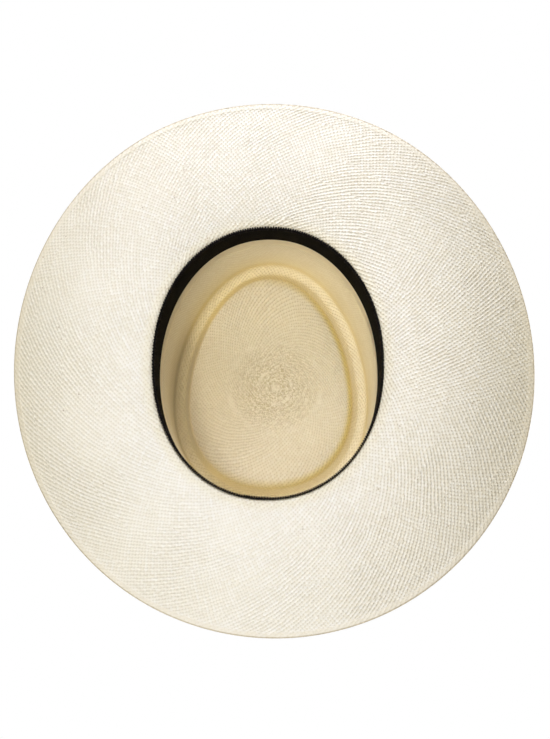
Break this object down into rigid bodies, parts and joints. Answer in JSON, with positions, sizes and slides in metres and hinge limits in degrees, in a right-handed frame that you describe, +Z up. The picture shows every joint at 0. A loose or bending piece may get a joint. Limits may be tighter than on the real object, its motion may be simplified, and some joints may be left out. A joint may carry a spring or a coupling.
{
  "type": "panama hat",
  "caption": "Wide-brimmed woven straw hat with a telescope crown, a black sweatband inside and a black ribbon band with a flat bow outside.",
  "frame": {"origin": "on the surface that the brim rests on, under the middle of the brim", "axes": "+Z up as worn, front at -Y, back at +Y, wearer's left at +X"},
  "size_m": [0.3842, 0.3912, 0.123],
  "materials": {
    "straw": "woven toquilla straw, matt with a faint sheen",
    "sweatband_cloth": "ribbed black cotton band",
    "ribbon": "black grosgrain ribbon",
    "thread": "black sewing thread"
  },
  "bodies": {
    "root": {"straw_body": "straw", "sweatband": "sweatband_cloth", "sweatband_stitches": "thread", "sweatband_lap_stitches": "thread", "hatband": "ribbon", "hatband_tack_front": "thread", "hatband_tack_back": "thread", "hatband_tack_right": "thread", "bow_loops": "ribbon", "bow_tail": "ribbon", "bow_knot": "ribbon", "bow_tack_upper": "thread", "bow_tack_lower": "thread"}
  },
  "joints": []
}
